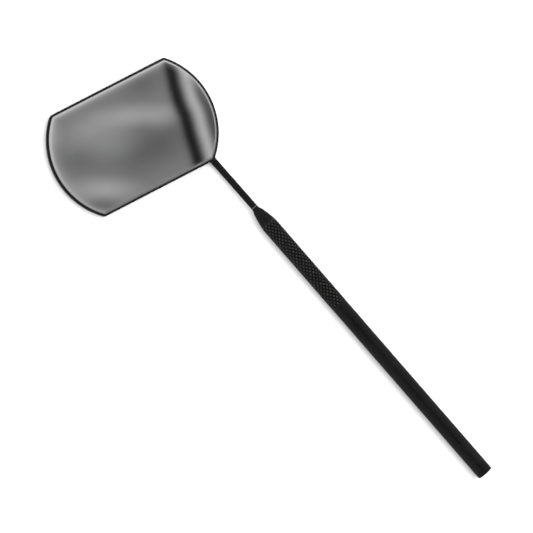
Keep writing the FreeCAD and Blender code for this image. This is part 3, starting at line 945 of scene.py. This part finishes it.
# ------------------------------------------------------------------ card that the mirror looks at
def card():
    """A soft, cloudy grey card overhead, with one dark stripe and a light one beside it. Only reflections
    see it. Its local axes are the mirror's: x to the end next to the stem, y to the side next to the handle."""
    glass_z = 0.00285
    up = CARD_HEIGHT
    c, sn = math.cos(HEAD_TURN), math.sin(HEAD_TURN)
    centre = Vector(to_row((HEAD_C[0], HEAD_C[1], 0)))
    centre.z = glass_z
    away = centre - CAM
    away = Vector((away.x, away.y, 0)) / (CAM.z - glass_z)
    k = 1 + up / (CAM.z - glass_z)
    ax = Vector((sn, -c, 0)) * k
    ay = Vector((-c, -sn, 0)) * k
    az = Vector((0, 0, 1))
    hx, hy = 0.090, 0.085
    me = bpy.data.meshes.new("overhead_card")
    me.from_pydata([(-hx, -hy, 0), (hx, -hy, 0), (hx, hy, 0), (-hx, hy, 0)], [], [(0, 1, 2, 3)])
    ob = bpy.data.objects.new("overhead_card", me)
    scene.collection.objects.link(ob)
    m = Matrix((ax, ay, az)).transposed().to_4x4()
    m.translation = centre + away * up + Vector((0, 0, up))
    ob.matrix_world = m

    mat = bpy.data.materials.new("overhead_card")
    mat.use_nodes = True
    nt = mat.node_tree
    nt.nodes.clear()
    out = nt.nodes.new("ShaderNodeOutputMaterial")
    em = nt.nodes.new("ShaderNodeEmission")
    clear = nt.nodes.new("ShaderNodeBsdfTransparent")
    mix = nt.nodes.new("ShaderNodeMixShader")
    nt.links.new(mix.outputs[0], out.inputs["Surface"])
    nt.links.new(clear.outputs[0], mix.inputs[1])
    nt.links.new(em.outputs[0], mix.inputs[2])
    tc = nt.nodes.new("ShaderNodeTexCoord")

    def math_node(op, a, b):
        n = nt.nodes.new("ShaderNodeMath")
        n.operation = op
        for i, v in enumerate((a, b)):
            if isinstance(v, (int, float)):
                n.inputs[i].default_value = v
            else:
                nt.links.new(v, n.inputs[i])
        return n.outputs[0]

    def blob(x, y, rx, ry, deg, amount):
        mp = nt.nodes.new("ShaderNodeMapping")
        mp.vector_type = "TEXTURE"
        mp.inputs["Location"].default_value = (x / 1000, y / 1000, 0)
        mp.inputs["Rotation"].default_value = (0, 0, math.radians(deg))
        mp.inputs["Scale"].default_value = (rx / 1000, ry / 1000, 1)
        nt.links.new(tc.outputs["Object"], mp.inputs["Vector"])
        ln = nt.nodes.new("ShaderNodeVectorMath")
        ln.operation = "LENGTH"
        nt.links.new(mp.outputs[0], ln.inputs[0])
        mr = map_range(nt, ln.outputs["Value"], 0.0, 1.6, amount, 0.0)
        mr.interpolation_type = "SMOOTHSTEP"
        return mr.outputs[0]

    noise = node(nt, "ShaderNodeTexNoise", Scale=38.0, Detail=2.5, Roughness=0.45)
    nt.links.new(tc.outputs["Object"], noise.inputs["Vector"])
    total = map_range(nt, noise.outputs["Fac"], 0.25, 0.75, CARD_BASE - 0.018, CARD_BASE + 0.018).outputs[0]
    for b in CARD_BLOBS:
        total = math_node("ADD", total, blob(*b))
    across = nt.nodes.new("ShaderNodeVectorMath")
    across.operation = "DOT_PRODUCT"
    nt.links.new(tc.outputs["Object"], across.inputs[0])
    across.inputs[1].default_value = (1000.0, 0, 0)          # millimetres across the stripe
    along = nt.nodes.new("ShaderNodeSeparateXYZ")
    nt.links.new(tc.outputs["Object"], along.inputs[0])
    y_pos = map_range(nt, along.outputs["Y"], -0.0215, 0.0215, 0, 1)
    slant = map_range(nt, y_pos.outputs[0], 0, 1, -21.5 * 0.178, 21.5 * 0.178)
    bend = ramp(nt, y_pos.outputs[0], [((y + 21.5) / 43.0, grey(v + 0.5)) for y, v in STRIPE_BEND])
    bent = math_node("SUBTRACT", math_node("ADD", across.outputs["Value"], slant.outputs[0]), bend.outputs["Color"])
    pos = map_range(nt, bent, STRIPE_X - 0.5 - 14, STRIPE_X - 0.5 + 14, 0, 1)
    keep = ramp(nt, pos.outputs[0], [((x + 14) / 28, grey(v)) for x, v in STRIPE_KEEP])
    light = ramp(nt, pos.outputs[0], [((x + 14) / 28, grey(v)) for x, v in STRIPE_LIGHT])
    for r in (keep, light):
        r.color_ramp.interpolation = "EASE"
    total = math_node("MULTIPLY", total, keep.outputs["Color"])
    total = math_node("ADD", total, light.outputs["Color"])
    # lighter towards the outline
    xyz = nt.nodes.new("ShaderNodeSeparateXYZ")
    nt.links.new(tc.outputs["Object"], xyz.inputs[0])
    x_mm = math_node("MULTIPLY", xyz.outputs["X"], 1000.0)
    y_mm = math_node("MULTIPLY", xyz.outputs["Y"], 1000.0)

    def rim_light(distance, stops):
        pos = map_range(nt, distance, 0.0, 6.0, 0.0, 1.0)
        return ramp(nt, pos.outputs[0], [(d / 6.0, grey(v)) for d, v in stops]).outputs["Color"]

    def arc_distance(side):
        dx = math_node("ADD", x_mm, -side * ARC_SPREAD)
        rr = math_node("ADD", math_node("MULTIPLY", dx, dx), math_node("MULTIPLY", y_mm, y_mm))
        return math_node("SUBTRACT", ARC_R, math_node("SQRT", rr, 0.0))

    top_light = rim_light(math_node("ADD", y_mm, SIDE_FAR), RIM_TOP)
    left_light = rim_light(arc_distance(-1), RIM_LEFT)
    right_light = rim_light(arc_distance(1), RIM_RIGHT)
    near_light = rim_light(math_node("SUBTRACT", SIDE_NEAR, y_mm), RIM_NEAR)
    left_half = map_range(nt, x_mm, -8.0, -2.0, 1.0, 0.0).outputs[0]
    right_half = map_range(nt, y_mm, -6.0, 5.0, 1.0, 0.0).outputs[0]
    right_side = map_range(nt, x_mm, 2.0, 8.0, 0.0, 1.0).outputs[0]
    left_low = map_range(nt, y_mm, -7.0, 7.0, 1.0, 0.50).outputs[0]
    left_half = math_node("MULTIPLY", left_half, left_low)
    glow = math_node("MAXIMUM", top_light, math_node("MULTIPLY", left_light, left_half))
    glow = math_node("MAXIMUM", glow, math_node("MULTIPLY", right_light, math_node("MULTIPLY", right_half, right_side)))
    total = math_node("ADD", total, math_node("ADD", glow, near_light))
    nt.links.new(total, em.inputs["Color"])
    em.inputs["Strength"].default_value = 1.0 / 0.86
    # soft border
    mp = nt.nodes.new("ShaderNodeMapping")
    mp.inputs["Scale"].default_value = (1 / hx, 1 / hy, 1)
    nt.links.new(tc.outputs["Object"], mp.inputs["Vector"])
    ab = nt.nodes.new("ShaderNodeVectorMath")
    ab.operation = "ABSOLUTE"
    nt.links.new(mp.outputs[0], ab.inputs[0])
    sp = nt.nodes.new("ShaderNodeSeparateXYZ")
    nt.links.new(ab.outputs[0], sp.inputs[0])
    far = math_node("MAXIMUM", sp.outputs["X"], sp.outputs["Y"])
    fade = map_range(nt, far, 0.74, 0.99, 1.0, 0.0)
    nt.links.new(fade.outputs[0], mix.inputs[0])
    me.materials.append(mat)
    ob.visible_camera = False
    ob.visible_diffuse = False
    ob.visible_shadow = False
    ob.visible_transmission = False


card()

cam_data = bpy.data.cameras.new("camera")
cam = bpy.data.objects.new("camera", cam_data)
scene.collection.objects.link(cam)
cam_data.type = "PERSP"
cam_data.sensor_width = 36.0
cam_data.lens = 36.0 * (2000.0 / 0.3625) / 533.0
cam_data.clip_start, cam_data.clip_end = 0.1, 50.0
rot = Matrix((RIGHT, -DOWN, BACK)).transposed()
cam.matrix_world = Matrix.Translation(CAM) @ rot.to_4x4()
scene.camera = cam

scene.view_settings.view_transform = "Standard"
scene.view_settings.look = "None"
